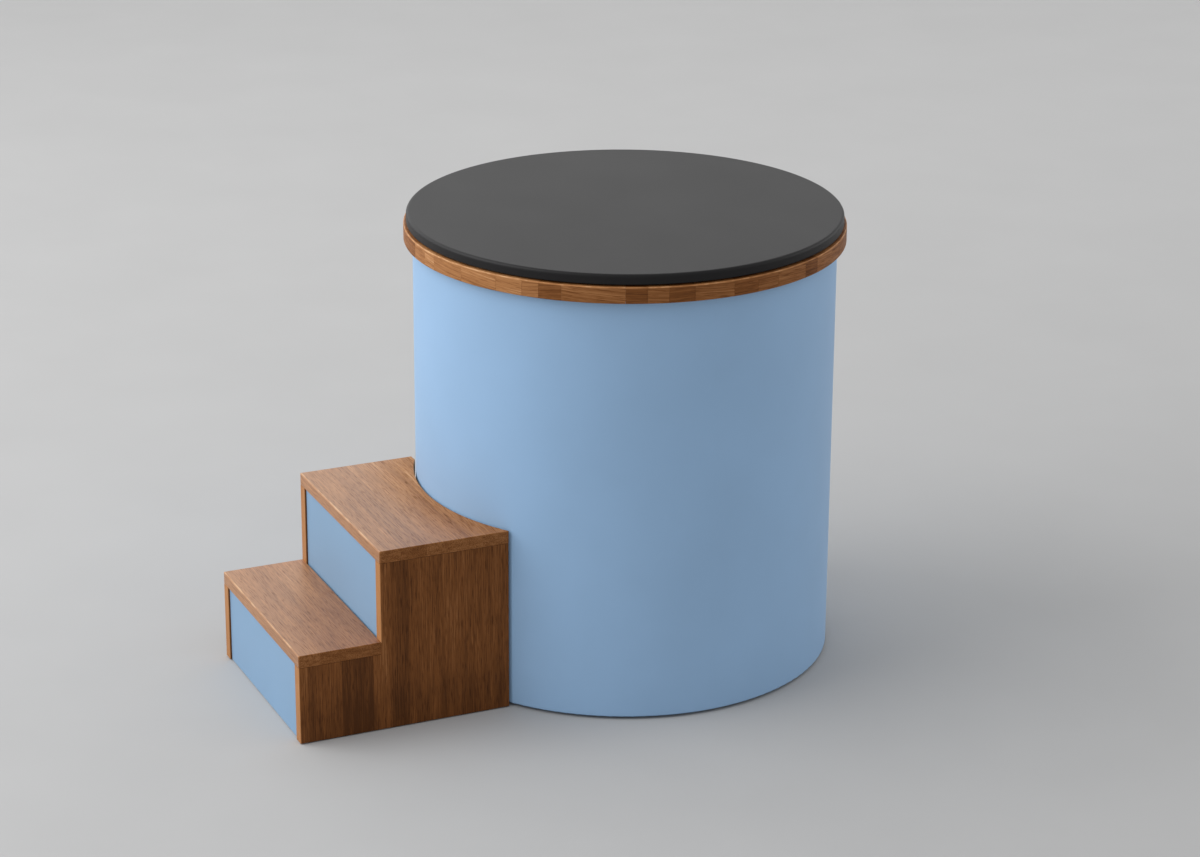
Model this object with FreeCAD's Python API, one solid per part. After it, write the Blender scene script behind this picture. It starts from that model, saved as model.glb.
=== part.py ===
"""Insulated barrel cold plunge tub with a lift-off lid, a drain valve and a free-standing pair of steps.

Millimetres. The origin is the tub's axis at floor level, +Z is up and the steps stand on the -Y side.
"""
import FreeCAD, Part
import math
import os

from FreeCAD import Placement, Rotation, Vector

# Clearances
FIT = 0.3                   # between curved faces that nest in each other
SCREW_CLEAR = 0.3           # round a screw in its hole
SLOT_CLEAR = 0.2            # round a tenon or tang in its slot

# Outer shell and base
TUB_RADIUS = 425.0          # outside of the painted shell
TUB_HEIGHT = 869.0          # top edge of the shell, where the rim sits
SHELL_WALL = 2.0
SHELL_FLANGE = 30.0         # flange turned in under the base panel
SHELL_BEND = 3.0            # outside radius of that bend
PLINTH_HEIGHT = 5.0
PLINTH_SETBACK = 12.0
PLINTH_EASE = 1.5
BASE_PANEL_T = 15.0
BASE_SCREWS = 8
BASE_SCREW_GRIP = 11.0      # length of screw in the base panel
BASE_SCREW_SINK = 1.0       # head below the plinth's face

# Insulated wall and liner
WALL_FOAM_T = 43.4
FOAM_STAVES = 16
COVE_COURSE_RISE = 5.0      # foam cove blocks above the liner's cove
LINER_WALL = 4.0
LINER_COVE = 26.0           # inside radius between the liner's wall and floor

# Wooden rim
RIM_T = 33.0
RIM_OVERHANG = 18.0         # beyond the shell
RIM_LIP = 5.0               # over the liner's edge
RIM_ROUND = 2.5             # top edges
RIM_EASE = 2.0              # bottom edges
RIM_SEGMENTS = 16
SUPPORT_T = 20.0
SUPPORT_ARCS = 8
TENON_LENGTH = 30.0         # along the rim, half in each segment
TENON_WIDTH = 36.0
TENON_T = 6.0
RIM_SCREW_GRIP = 18.0       # length of screw in the rim

# Lid
LID_INSET = 5.5             # rim left showing round the lid
LID_T = 19.0
LID_WALL = 3.0
LID_ROUND = 6.0
GASKET_T = 4.0
GASKET_WIDTH = 24.0
GASKET_INSET = 20.0         # from the lid's edge
PLUG_DEPTH = 24.0
PLUG_CLEAR = 8.0            # between the lid's plug and the rim's bore
PLUG_ROUND = 5.0

# Floor drain
DRAIN_ANGLE = 135.0         # direction of the outlet, degrees from +X
DRAIN_REACH = 270.0         # from the tub's axis to the floor drain
DRAIN_BORE = 17.0
DRAIN_NECK_R = 22.0
DRAIN_FLANGE_R = 36.0
DRAIN_FLANGE_T = 4.0
DRAIN_GASKET_T = 1.5
STRAINER_R = 27.7
STRAINER_T = 2.0
STRAINER_SLOTS = 6
STRAINER_SLOT_W = 5.0
STRAINER_HUB_R = 7.0
DRAIN_NUT_FLATS = 56.0
DRAIN_NUT_T = 8.0
ELBOW_WALL = 4.0
ELBOW_FLOOR = 5.0
ELBOW_SOCKET = 6.0          # depth of neck in the elbow
ELBOW_REACH = 50.0          # from the drain's axis to the end of the outlet socket
ELBOW_HEADROOM = 2.1        # between the elbow's outlet and the nut
PIPE_R = 16.0
PIPE_WALL = 2.5
PIPE_SOCKET = 20.0          # depth of pipe in the elbow
GROMMET_R = 23.0
GROMMET_CORE_R = 20.0
GROMMET_LIP = 4.0           # grommet on each side of the shell

# Quarter-turn valve
VALVE_STANDOFF = 58.0       # from the shell to the valve's stem
BALL_R = 15.0
BALL_BORE = 10.0
VALVE_WALL = 8.5
VALVE_HALF = 22.0           # half length of the round body
VALVE_HEX_FLATS = 42.0
VALVE_INLET = 16.0          # length of the inlet hexagon
VALVE_OUTLET = 12.0         # length of the outlet hexagon
VALVE_SOCKET = 14.0         # depth of pipe in the inlet
SEAT_T = 10.0
BOSS_R = 10.0
BOSS_TOP = 32.0             # above the pipe's axis
STEM_R = 5.0
STEM_RISE = 11.0            # above the boss
TANG_W = 4.6
TANG_LENGTH = 9.0
TANG_DEPTH = 3.7
LEVER_LENGTH = 100.0
LEVER_TAIL = 12.0
LEVER_W = 18.0
LEVER_T = 3.0
LEVER_ROUND = 8.0           # corners of its ends
LEVER_JOG_START = 18.0
LEVER_JOG_RUN = 10.0
LEVER_JOG_RISE = 10.0
GRIP_LENGTH = 62.0
GRIP_WALL = 2.0
GRIP_ROUND = 2.5
LEVER_NUT_FLATS = 15.0
LEVER_NUT_T = 6.0
TAIL_R = 13.0               # hose spigot
TAIL_BORE = 9.0
TAIL_LENGTH = 30.0
TAIL_COLLAR = 6.0

# Steps
STEP_WIDTH = 459.0
STEP_OFFSET = 14.0          # from the tub's axis to the steps' middle plane
LOWER_GOING = 169.5         # depth of the lower tread in front of the upper riser
UPPER_GOING = 199.5         # from the shell to the front of the upper tread
LOWER_RISE = 187.0
UPPER_RISE = 190.0
TREAD_T = 26.0
TREAD_EASE = 1.5
PANEL_T = 24.0
PANEL_EASE = 1.0
RISER_T = 12.0
RISER_RECESS = 4.0          # behind the treads' edges, which leaves a shadow line
TUB_GAP = 4.0               # between the scoop and the shell
TIP_BLUNT = 2.0             # cut off the upper tread's right tip, the longer one
LEFT_BLUNT = 11.0           # cut off its left tip
PANEL_BACK_INSET = 1.0      # side panels in front of those tips
CLEAT = 22.0                # square battens
RAIL_T = 28.0
RAIL_H = 46.0
RAIL_SETBACK = 10.0         # rear rails in front of the scoop
LOW_RAIL_Z = 28.0
GLIDE_T = 2.0
GLIDE_W = 18.0
GLIDE_LENGTH = 60.0
GLIDE_INSET = 15.0          # from the ends of the shorter panel
DOWEL_R = 4.0
DOWEL_LENGTH = 30.0
DOWEL_PITCH = 22.0

# Wood screws
SCREW_R = 2.25
SCREW_HEAD_R = 4.5
SCREW_HEAD_H = 3.5
SCREW_TIP = 4.0
PANEL_GRIP = 14.0           # length of screw in a side panel
TREAD_GRIP = 15.0
RISER_GRIP = 7.0
SCREW_END_GAP = 28.0        # from a batten's end to its outer screws
SCREW_STAGGER = 11.0        # between a batten's two sets of screws

# Heights and radii that follow from the sizes above
SHELL_INNER = TUB_RADIUS - SHELL_WALL
FLANGE_INNER = TUB_RADIUS - SHELL_FLANGE
PLINTH_R = TUB_RADIUS - PLINTH_SETBACK
BASE_Z = PLINTH_HEIGHT + SHELL_WALL
BASE_TOP = BASE_Z + BASE_PANEL_T
DRAIN_PIPE_Z = BASE_TOP + GROMMET_R + 2 * FIT
OUTLET_R = PIPE_R + FIT + ELBOW_WALL
LINER_Z = DRAIN_PIPE_Z + OUTLET_R + ELBOW_HEADROOM + DRAIN_NUT_T
TUB_FLOOR = LINER_Z + LINER_WALL
FOAM_OUTER = SHELL_INNER - FIT
FOAM_INNER = FOAM_OUTER - WALL_FOAM_T
LINER_OUTER = FOAM_INNER - FIT
LINER_R = LINER_OUTER - LINER_WALL
COVE_OUTER = LINER_COVE + LINER_WALL
COVE_START = LINER_OUTER - COVE_OUTER
COVE_TOP = LINER_Z + COVE_OUTER + COVE_COURSE_RISE
LINER_FLANGE_Z = TUB_HEIGHT - LINER_WALL
SUPPORT_Z = LINER_FLANGE_Z - SUPPORT_T
RIM_R = TUB_RADIUS + RIM_OVERHANG
RIM_BORE = LINER_R - RIM_LIP
RIM_TOP = TUB_HEIGHT + RIM_T
RIM_SCREW_PCR = (FOAM_INNER + FOAM_OUTER) / 2
BASE_SCREW_PCR = (FLANGE_INNER + PLINTH_R) / 2

LID_R = RIM_R - LID_INSET
LID_Z = RIM_TOP + GASKET_T
LID_TOP = LID_Z + LID_T
PAN_TOP = LID_Z + LID_WALL
LID_INNER = LID_R - LID_WALL
PLUG_R = RIM_BORE - PLUG_CLEAR
PLUG_Z = LID_Z - PLUG_DEPTH

DRAIN_FLANGE_Z = TUB_FLOOR + DRAIN_GASKET_T
DRAIN_TOP = DRAIN_FLANGE_Z + DRAIN_FLANGE_T
DRAIN_NUT_Z = LINER_Z - DRAIN_NUT_T
ELBOW_R = DRAIN_NECK_R + FIT + ELBOW_WALL
ELBOW_TOP = DRAIN_NUT_Z - FIT
ELBOW_SHOULDER = ELBOW_TOP - ELBOW_SOCKET
ELBOW_Z = DRAIN_PIPE_Z - OUTLET_R
PIPE_BORE = PIPE_R - PIPE_WALL
PIPE_START = DRAIN_REACH + ELBOW_REACH - PIPE_SOCKET

VALVE_Y = TUB_RADIUS + VALVE_STANDOFF
CAVITY_R = BALL_R + FIT
VALVE_R = CAVITY_R + VALVE_WALL
INLET_Y = VALVE_Y - VALVE_HALF - VALVE_INLET
OUTLET_Y = VALVE_Y + VALVE_HALF + VALVE_OUTLET
PIPE_END = INLET_Y + VALVE_SOCKET
CAVITY_Y = VALVE_Y - CAVITY_R - 2 * FIT
SEAT_OUT_Y = VALVE_Y + CAVITY_R + 2 * FIT
STEM_TOP = DRAIN_PIPE_Z + BOSS_TOP + STEM_RISE
LEVER_Z = DRAIN_PIPE_Z + BOSS_TOP + FIT

STEP_HALF = STEP_WIDTH / 2
PANEL_INNER = STEP_HALF - PANEL_T
UPPER_FRONT = -(TUB_RADIUS + UPPER_GOING)
LOWER_FRONT = UPPER_FRONT - LOWER_GOING
LOWER_TOP = LOWER_RISE
UPPER_TOP = LOWER_RISE + UPPER_RISE
LOWER_SEAT = LOWER_TOP - TREAD_T
UPPER_SEAT = UPPER_TOP - TREAD_T
SCOOP_R = TUB_RADIUS + TUB_GAP
TREAD_BACK = -math.sqrt(SCOOP_R ** 2 - (STEP_HALF + STEP_OFFSET) ** 2) - TIP_BLUNT
LEFT_BACK = -math.sqrt(SCOOP_R ** 2 - (STEP_HALF - STEP_OFFSET) ** 2) - LEFT_BLUNT
PANEL_BACK = TREAD_BACK - PANEL_BACK_INSET
GLIDE_BACK = -math.sqrt(SCOOP_R ** 2 - (PANEL_INNER - STEP_OFFSET) ** 2) - GLIDE_INSET
LOWER_RISER_BACK = LOWER_FRONT + RISER_RECESS + RISER_T
UPPER_RISER_FACE = UPPER_FRONT + RISER_RECESS
UPPER_RISER_BACK = UPPER_RISER_FACE + RISER_T
MID_RAIL_FRONT = UPPER_RISER_FACE - RAIL_T
REAR_RAIL_BACK = -(SCOOP_R + RAIL_SETBACK)
REAR_RAIL_FRONT = REAR_RAIL_BACK - RAIL_T

UP = Vector(0, 0, 1)
OUT = Vector(0, 1, 0)
CENTRE = Vector(0, 0, 0)


def rz(r, z):
    """Point of a profile that is revolved round the tub's axis."""
    return Vector(r, 0, z)


def outline(corners, place):
    """Closed wire through corners (a, b) or (a, b, radius), where place turns (a, b) into a point."""
    points = [place(c[0], c[1]) for c in corners]
    radii = [c[2] if len(c) > 2 else 0 for c in corners]
    stops = []
    for i, point in enumerate(points):
        if not radii[i]:
            stops.append((point,))
            continue
        before = (points[i - 1] - point).normalize()
        after = (points[(i + 1) % len(points)] - point).normalize()
        half = before.getAngle(after) / 2
        middle = (before + after).normalize()
        run = radii[i] / math.tan(half)
        reach = radii[i] / math.sin(half) - radii[i]
        stops.append((point + before * run, point + middle * reach, point + after * run))
    edges = []
    for i, stop in enumerate(stops):
        if len(stop) == 3:
            edges.append(Part.Arc(*stop).toShape())
        start = stop[-1]
        end = stops[(i + 1) % len(stops)][0]
        if start.distanceToPoint(end) > 1e-6:
            edges.append(Part.makeLine(start, end))
    return Part.Wire(edges)


def revolved(corners, angle=360.0, start=0.0):
    """Solid of revolution round the tub's axis, or a sector of one."""
    solid = Part.Face(outline(corners, rz)).revolve(CENTRE, UP, angle)
    solid.rotate(CENTRE, UP, start)
    return solid


def sectors(corners, count):
    """A ring cut into equal sectors that meet face to face."""
    pitch = 360.0 / count
    return [revolved(corners, pitch, i * pitch) for i in range(count)]


def cylinder(radius, start, end):
    """Cylinder between two points."""
    return Part.makeCylinder(radius, start.distanceToPoint(end), start, end - start)


def upright(radius, y, z0, z1):
    """Vertical cylinder on the drain's centre line."""
    return cylinder(radius, Vector(0, y, z0), Vector(0, y, z1))


def along(radius, y0, y1):
    """Cylinder along the drain pipe's axis."""
    return cylinder(radius, Vector(0, y0, DRAIN_PIPE_Z), Vector(0, y1, DRAIN_PIPE_Z))


def hexagon(flats, start, direction):
    """Hexagonal prism, given its width across flats."""
    corners = [Vector(flats / math.sqrt(3), 0, 0)]
    for i in range(1, 6):
        corners.append(Rotation(UP, 60 * i).multVec(corners[0]))
    face = Part.Face(Part.makePolygon(corners + corners[:1]))
    prism = face.extrude(UP * direction.Length)
    prism.Placement = Placement(start, Rotation(UP, direction))
    return prism


def block(x0, x1, y0, y1, z0, z1):
    """Box between two corners."""
    return Part.makeBox(x1 - x0, y1 - y0, z1 - z0, Vector(x0, y0, z0))


def eased(solid, radius, keep):
    """Round the edges whose middle point passes the keep test."""
    edges = [e for e in solid.Edges if keep(e.valueAt((e.FirstParameter + e.LastParameter) / 2))]
    return solid.makeFillet(radius, edges)


def screw(length, head, direction, clear=0.0):
    """Countersunk wood screw, or with clear its hole, from the middle of its head."""
    cone = Part.makeCone(SCREW_HEAD_R + clear, SCREW_R + clear, SCREW_HEAD_H)
    shank = Part.makeCylinder(SCREW_R + clear, length - SCREW_TIP - SCREW_HEAD_H, UP * SCREW_HEAD_H)
    tip = Part.makeCone(SCREW_R + clear, clear, SCREW_TIP, UP * (length - SCREW_TIP))
    body = cone.fuse([shank, tip]).removeSplitter()
    body.Placement = Placement(head, Rotation(UP, direction))
    return body


def on_circle(radius, z, count, offset):
    """Points spread round the tub's axis; offset is in pitches."""
    pitch = 360.0 / count
    return [Rotation(UP, (i + offset) * pitch).multVec(Vector(radius, 0, z)) for i in range(count)]


def mirrored(solids):
    """The solids and their mirror images across the steps' middle plane."""
    return solids + [s.mirror(CENTRE, Vector(1, 0, 0)) for s in solids]


def to_drain(shape):
    """Turn a piece built along +Y to the drain's direction."""
    shape.rotate(CENTRE, UP, DRAIN_ANGLE - 90)
    return shape


def to_steps(shape):
    """Move a piece of the steps from their middle plane at x = 0 to its place off the tub's axis."""
    for solid in shape if isinstance(shape, list) else [shape]:
        solid.translate(Vector(STEP_OFFSET, 0, 0))
    return shape


def save(name, shape):
    """Write one node; a list of solids becomes a group."""
    if isinstance(shape, list):
        shape = Part.makeCompound(shape)
    shape.exportStep("parts/%s.step" % name)
    print("%-20s %2d solids  %10.1f cm3" % (name, len(shape.Solids), shape.Volume / 1000))


def base_screws(clear=0.0):
    """Screws through the plinth and the shell's flange into the base panel."""
    length = BASE_Z + BASE_SCREW_GRIP - BASE_SCREW_SINK
    heads = on_circle(BASE_SCREW_PCR, BASE_SCREW_SINK, BASE_SCREWS, 0.5)
    return [screw(length, head, UP, clear) for head in heads]


def rim_screws(clear=0.0):
    """Screws through the support ring and the liner's flange into the rim."""
    length = TUB_HEIGHT - SUPPORT_Z + RIM_SCREW_GRIP
    heads = on_circle(RIM_SCREW_PCR, SUPPORT_Z, RIM_SEGMENTS, 0.5)
    return [screw(length, head, UP, clear) for head in heads]


def rim_tenons(clear=0.0):
    """Loose tenons across the joints of the rim."""
    middle = (RIM_R + RIM_BORE) / 2
    height = TUB_HEIGHT + RIM_T / 2
    tenons = []
    for i in range(RIM_SEGMENTS):
        tenon = block(middle - TENON_WIDTH / 2 - clear, middle + TENON_WIDTH / 2 + clear,
                      -TENON_LENGTH / 2 - clear, TENON_LENGTH / 2 + clear,
                      height - TENON_T / 2 - clear, height + TENON_T / 2 + clear)
        tenon.rotate(CENTRE, UP, i * 360.0 / RIM_SEGMENTS)
        tenons.append(tenon)
    return tenons


def outer_shell():
    """Rolled sheet with its bottom edge turned in, holed for the base screws and the drain."""
    sheet = revolved([(FLANGE_INNER, PLINTH_HEIGHT), (TUB_RADIUS, PLINTH_HEIGHT, SHELL_BEND),
                      (TUB_RADIUS, TUB_HEIGHT), (SHELL_INNER, TUB_HEIGHT),
                      (SHELL_INNER, BASE_Z, SHELL_BEND - SHELL_WALL), (FLANGE_INNER, BASE_Z)])
    drain_hole = to_drain(along(GROMMET_CORE_R + FIT, FOAM_INNER, TUB_RADIUS + RIM_OVERHANG))
    return sheet.cut(base_screws(SCREW_CLEAR) + [drain_hole])


def base_plinth():
    """Disc that the tub stands on, set back in the shadow under the shell."""
    disc = revolved([(0, 0), (PLINTH_R, 0, PLINTH_EASE), (PLINTH_R, PLINTH_HEIGHT), (0, PLINTH_HEIGHT)])
    sinks = [cylinder(SCREW_HEAD_R + SCREW_CLEAR, p, p + UP * BASE_SCREW_SINK)
             for p in on_circle(BASE_SCREW_PCR, 0, BASE_SCREWS, 0.5)]
    return disc.cut(base_screws(SCREW_CLEAR) + sinks)


def base_panel():
    """Panel with a rebated edge that rests on the shell's flange."""
    inner = FLANGE_INNER - FIT
    disc = revolved([(0, PLINTH_HEIGHT), (inner, PLINTH_HEIGHT), (inner, BASE_Z),
                     (FOAM_OUTER, BASE_Z, SHELL_BEND), (FOAM_OUTER, BASE_TOP), (0, BASE_TOP)])
    return disc.cut(base_screws(SCREW_CLEAR))


def drain_channel():
    """Room in the foam for the drain's nut, elbow and pipe."""
    room = 2 * FIT
    nut = upright(DRAIN_NUT_FLATS / math.sqrt(3) + room, DRAIN_REACH, ELBOW_SHOULDER, LINER_Z)
    elbow = upright(ELBOW_R + room, DRAIN_REACH, ELBOW_Z - room, LINER_Z)
    outlet = along(OUTLET_R + room, DRAIN_REACH, DRAIN_REACH + ELBOW_REACH + room)
    pipe = along(PIPE_R + FIT, DRAIN_REACH, TUB_RADIUS)
    grommet = along(GROMMET_R + FIT, SHELL_INNER - 2 * GROMMET_LIP, TUB_RADIUS)
    return [to_drain(s) for s in (nut, elbow, outlet, pipe, grommet)]


def floor_insulation():
    """Foam disc between the base panel and the liner's floor."""
    disc = revolved([(0, BASE_TOP), (COVE_START - FIT, BASE_TOP), (COVE_START - FIT, LINER_Z), (0, LINER_Z)])
    return disc.cut(drain_channel())


def cove_insulation():
    """Foam blocks that fill the corner round the liner's cove."""
    start = LINER_Z - FIT
    blocks = sectors([(COVE_START, BASE_TOP), (FOAM_OUTER, BASE_TOP), (FOAM_OUTER, COVE_TOP),
                      (FOAM_INNER, COVE_TOP), (FOAM_INNER, start, COVE_OUTER + FIT), (COVE_START, start)],
                     FOAM_STAVES)
    return [b.cut(drain_channel()) for b in blocks]


def wall_insulation():
    """Foam staves between the liner and the shell."""
    return sectors([(FOAM_INNER, COVE_TOP), (FOAM_OUTER, COVE_TOP), (FOAM_OUTER, SUPPORT_Z),
                    (FOAM_INNER, SUPPORT_Z)], FOAM_STAVES)


def liner():
    """Moulded inner tub with a coved floor and a flange that lies under the rim."""
    bowl = revolved([(0, LINER_Z), (LINER_OUTER, LINER_Z, COVE_OUTER), (LINER_OUTER, LINER_FLANGE_Z),
                     (FOAM_OUTER, LINER_FLANGE_Z), (FOAM_OUTER, TUB_HEIGHT), (LINER_R, TUB_HEIGHT),
                     (LINER_R, TUB_FLOOR, LINER_COVE), (0, TUB_FLOOR)])
    drain_hole = to_drain(upright(DRAIN_NECK_R + FIT, DRAIN_REACH, LINER_Z, TUB_FLOOR))
    return bowl.cut(rim_screws(SCREW_CLEAR) + [drain_hole])


def rim_support():
    """Plywood arcs that close the insulated wall and carry the rim's screws."""
    arcs = sectors([(FOAM_INNER, SUPPORT_Z), (FOAM_OUTER, SUPPORT_Z), (FOAM_OUTER, LINER_FLANGE_Z),
                    (FOAM_INNER, LINER_FLANGE_Z)], SUPPORT_ARCS)
    return [arc.cut(rim_screws(SCREW_CLEAR)) for arc in arcs]


def rim_segments():
    """Hardwood ring of segments, joined by loose tenons and screwed from below."""
    ring = sectors([(RIM_BORE, TUB_HEIGHT, RIM_EASE), (RIM_R, TUB_HEIGHT, RIM_EASE),
                    (RIM_R, RIM_TOP, RIM_ROUND), (RIM_BORE, RIM_TOP, RIM_ROUND)], RIM_SEGMENTS)
    return [s.cut(rim_tenons(SLOT_CLEAR) + rim_screws(SCREW_CLEAR)) for s in ring]


def lid_shell():
    """Moulded top of the lid, an inverted pan with a rounded edge."""
    inner_round = LID_ROUND - LID_WALL
    return revolved([(LID_INNER, LID_Z), (LID_R, LID_Z), (LID_R, LID_TOP, LID_ROUND), (0, LID_TOP),
                     (0, LID_TOP - LID_WALL), (LID_INNER, LID_TOP - LID_WALL, inner_round)])


def lid_pan():
    """Underside of the lid, dished down into a plug that finds the rim's bore."""
    edge = LID_INNER - FIT
    inner = PLUG_R - LID_WALL
    return revolved([(0, PLUG_Z), (PLUG_R, PLUG_Z, PLUG_ROUND), (PLUG_R, LID_Z), (edge, LID_Z),
                     (edge, PAN_TOP), (inner, PAN_TOP), (inner, PLUG_Z + LID_WALL, PLUG_ROUND - LID_WALL),
                     (0, PLUG_Z + LID_WALL)])


def lid_core():
    """Foam disc between the lid's shell and its pan."""
    edge = LID_INNER - FIT
    top = LID_TOP - LID_WALL
    return revolved([(0, PAN_TOP), (edge, PAN_TOP), (edge, top, LID_ROUND), (0, top)])


def lid_plug_core():
    """Foam disc in the lid's plug."""
    edge = PLUG_R - LID_WALL - FIT
    bottom = PLUG_Z + LID_WALL
    return revolved([(0, bottom), (edge, bottom, PLUG_ROUND), (edge, PAN_TOP), (0, PAN_TOP)])


def lid_gasket():
    """Sealing ring under the lid's edge, which leaves a shadow gap above the rim."""
    outer = LID_R - GASKET_INSET
    return revolved([(outer - GASKET_WIDTH, RIM_TOP), (outer, RIM_TOP), (outer, LID_Z),
                     (outer - GASKET_WIDTH, LID_Z)])


def drain_flange():
    """Tank fitting with a seat for the strainer and a neck through the liner's floor."""
    flange = upright(DRAIN_FLANGE_R, DRAIN_REACH, DRAIN_FLANGE_Z, DRAIN_TOP)
    neck = upright(DRAIN_NECK_R, DRAIN_REACH, ELBOW_SHOULDER, DRAIN_TOP)
    seat = upright(STRAINER_R + FIT, DRAIN_REACH, DRAIN_TOP - STRAINER_T, DRAIN_TOP)
    bore = upright(DRAIN_BORE, DRAIN_REACH, ELBOW_SHOULDER, DRAIN_TOP)
    return to_drain(flange.fuse(neck).cut([seat, bore]).removeSplitter())


def drain_strainer():
    """Slotted disc that lies flush in the drain's flange."""
    disc = upright(STRAINER_R, DRAIN_REACH, DRAIN_TOP - STRAINER_T, DRAIN_TOP)
    slot = block(STRAINER_HUB_R, DRAIN_BORE, DRAIN_REACH - STRAINER_SLOT_W / 2,
                 DRAIN_REACH + STRAINER_SLOT_W / 2, DRAIN_TOP - STRAINER_T, DRAIN_TOP)
    slots = []
    for i in range(STRAINER_SLOTS):
        turned = slot.copy()
        turned.rotate(Vector(0, DRAIN_REACH, 0), UP, i * 360.0 / STRAINER_SLOTS)
        slots.append(turned)
    return to_drain(disc.cut(slots))


def drain_gasket():
    """Rubber washer between the drain's flange and the liner."""
    outer = upright(DRAIN_FLANGE_R, DRAIN_REACH, TUB_FLOOR, DRAIN_FLANGE_Z)
    return to_drain(outer.cut(upright(DRAIN_NECK_R + FIT, DRAIN_REACH, TUB_FLOOR, DRAIN_FLANGE_Z)))


def drain_nut():
    """Hexagonal nut that clamps the fitting from below."""
    prism = hexagon(DRAIN_NUT_FLATS, Vector(0, DRAIN_REACH, DRAIN_NUT_Z), UP * DRAIN_NUT_T)
    return to_drain(prism.cut(upright(DRAIN_NECK_R + FIT, DRAIN_REACH, DRAIN_NUT_Z, LINER_Z)))


def drain_elbow():
    """Elbow from the drain's neck to the horizontal pipe."""
    outlet_end = DRAIN_REACH + ELBOW_REACH
    cup = upright(ELBOW_R, DRAIN_REACH, ELBOW_Z, ELBOW_TOP)
    outlet = along(OUTLET_R, DRAIN_REACH, outlet_end)
    chamber = upright(DRAIN_BORE, DRAIN_REACH, ELBOW_Z + ELBOW_FLOOR, ELBOW_TOP)
    neck = upright(DRAIN_NECK_R + FIT, DRAIN_REACH, ELBOW_SHOULDER, ELBOW_TOP)
    waterway = along(PIPE_BORE, DRAIN_REACH, outlet_end)
    socket = along(PIPE_R + FIT, PIPE_START, outlet_end)
    return to_drain(cup.fuse(outlet).cut([chamber, neck, waterway, socket]).removeSplitter())


def drain_pipe():
    """Pipe from the elbow through the wall to the valve."""
    return to_drain(along(PIPE_R, PIPE_START, PIPE_END).cut(along(PIPE_BORE, PIPE_START, PIPE_END)))


def pipe_grommet():
    """Rubber bush in the shell's hole, grooved for the curved sheet."""
    inside = SHELL_INNER - GROMMET_LIP
    outside = TUB_RADIUS + GROMMET_LIP
    groove = revolved([(SHELL_INNER - FIT, 0), (TUB_RADIUS + FIT, 0), (TUB_RADIUS + FIT, TUB_HEIGHT),
                       (SHELL_INNER - FIT, TUB_HEIGHT)])
    lips = along(GROMMET_R, inside, outside).cut(groove)
    bush = lips.fuse(along(GROMMET_CORE_R, inside, outside))
    return to_drain(bush.cut(along(PIPE_R + FIT, inside, outside)).removeSplitter())


def valve_body():
    """Body with a socket for the pipe, the ball's cavity, an open outlet end and a stem boss."""
    centre = Vector(0, VALVE_Y, DRAIN_PIPE_Z)
    inlet = hexagon(VALVE_HEX_FLATS, Vector(0, INLET_Y, DRAIN_PIPE_Z), OUT * VALVE_INLET)
    outlet = hexagon(VALVE_HEX_FLATS, Vector(0, VALVE_Y + VALVE_HALF, DRAIN_PIPE_Z), OUT * VALVE_OUTLET)
    barrel = along(VALVE_R, VALVE_Y - VALVE_HALF, VALVE_Y + VALVE_HALF)
    boss = cylinder(BOSS_R, centre, centre + UP * BOSS_TOP)
    cavity = along(CAVITY_R, CAVITY_Y, OUTLET_Y)
    waterway = along(BALL_BORE, INLET_Y, VALVE_Y)
    socket = along(PIPE_R + FIT, INLET_Y, PIPE_END)
    stem = cylinder(STEM_R + FIT, centre, centre + UP * BOSS_TOP)
    return to_drain(barrel.fuse([inlet, outlet, boss]).cut([cavity, waterway, socket, stem]).removeSplitter())


def valve_seats():
    """Two dished rings that carry the ball."""
    ball = Part.makeSphere(CAVITY_R, Vector(0, VALVE_Y, DRAIN_PIPE_Z))
    seats = []
    for start, end in ((CAVITY_Y, CAVITY_Y + SEAT_T), (SEAT_OUT_Y - SEAT_T, SEAT_OUT_Y)):
        ring = along(CAVITY_R - FIT / 2, start, end)
        seats.append(to_drain(ring.cut([along(BALL_BORE, start, end), ball])))
    return seats


def hose_tail():
    """Threaded insert that holds the seats, with a collar and a plain spigot for a hose."""
    collar_end = OUTLET_Y + TAIL_COLLAR
    insert = along(CAVITY_R - FIT, SEAT_OUT_Y, OUTLET_Y)
    collar = hexagon(VALVE_HEX_FLATS, Vector(0, OUTLET_Y, DRAIN_PIPE_Z), OUT * TAIL_COLLAR)
    spigot = along(TAIL_R, collar_end, collar_end + TAIL_LENGTH)
    bore = along(TAIL_BORE, SEAT_OUT_Y, collar_end + TAIL_LENGTH)
    return to_drain(insert.fuse([collar, spigot]).cut(bore).removeSplitter())


def valve_ball():
    """Ball in its closed place, with the waterway across the pipe and a slot for the stem's tang."""
    centre = Vector(0, VALVE_Y, DRAIN_PIPE_Z)
    across = Vector(BALL_R, 0, 0)
    waterway = cylinder(BALL_BORE, centre - across, centre + across)
    slot_half = TANG_W / 2 + SLOT_CLEAR
    slot_floor = DRAIN_PIPE_Z + BALL_R - TANG_DEPTH
    slot = block(-BALL_R, BALL_R, VALVE_Y - slot_half, VALVE_Y + slot_half, slot_floor,
                 DRAIN_PIPE_Z + BALL_R)
    return to_drain(Part.makeSphere(BALL_R, centre).cut([waterway, slot]))


def valve_stem():
    """Stem with a tang in the ball's slot."""
    foot = DRAIN_PIPE_Z + BALL_R + SLOT_CLEAR
    tang_foot = DRAIN_PIPE_Z + BALL_R - TANG_DEPTH + SLOT_CLEAR
    stem = upright(STEM_R, VALVE_Y, foot, STEM_TOP)
    tang = block(-TANG_LENGTH / 2, TANG_LENGTH / 2, VALVE_Y - TANG_W / 2, VALVE_Y + TANG_W / 2,
                 tang_foot, foot)
    return to_drain(stem.fuse(tang))


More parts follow.
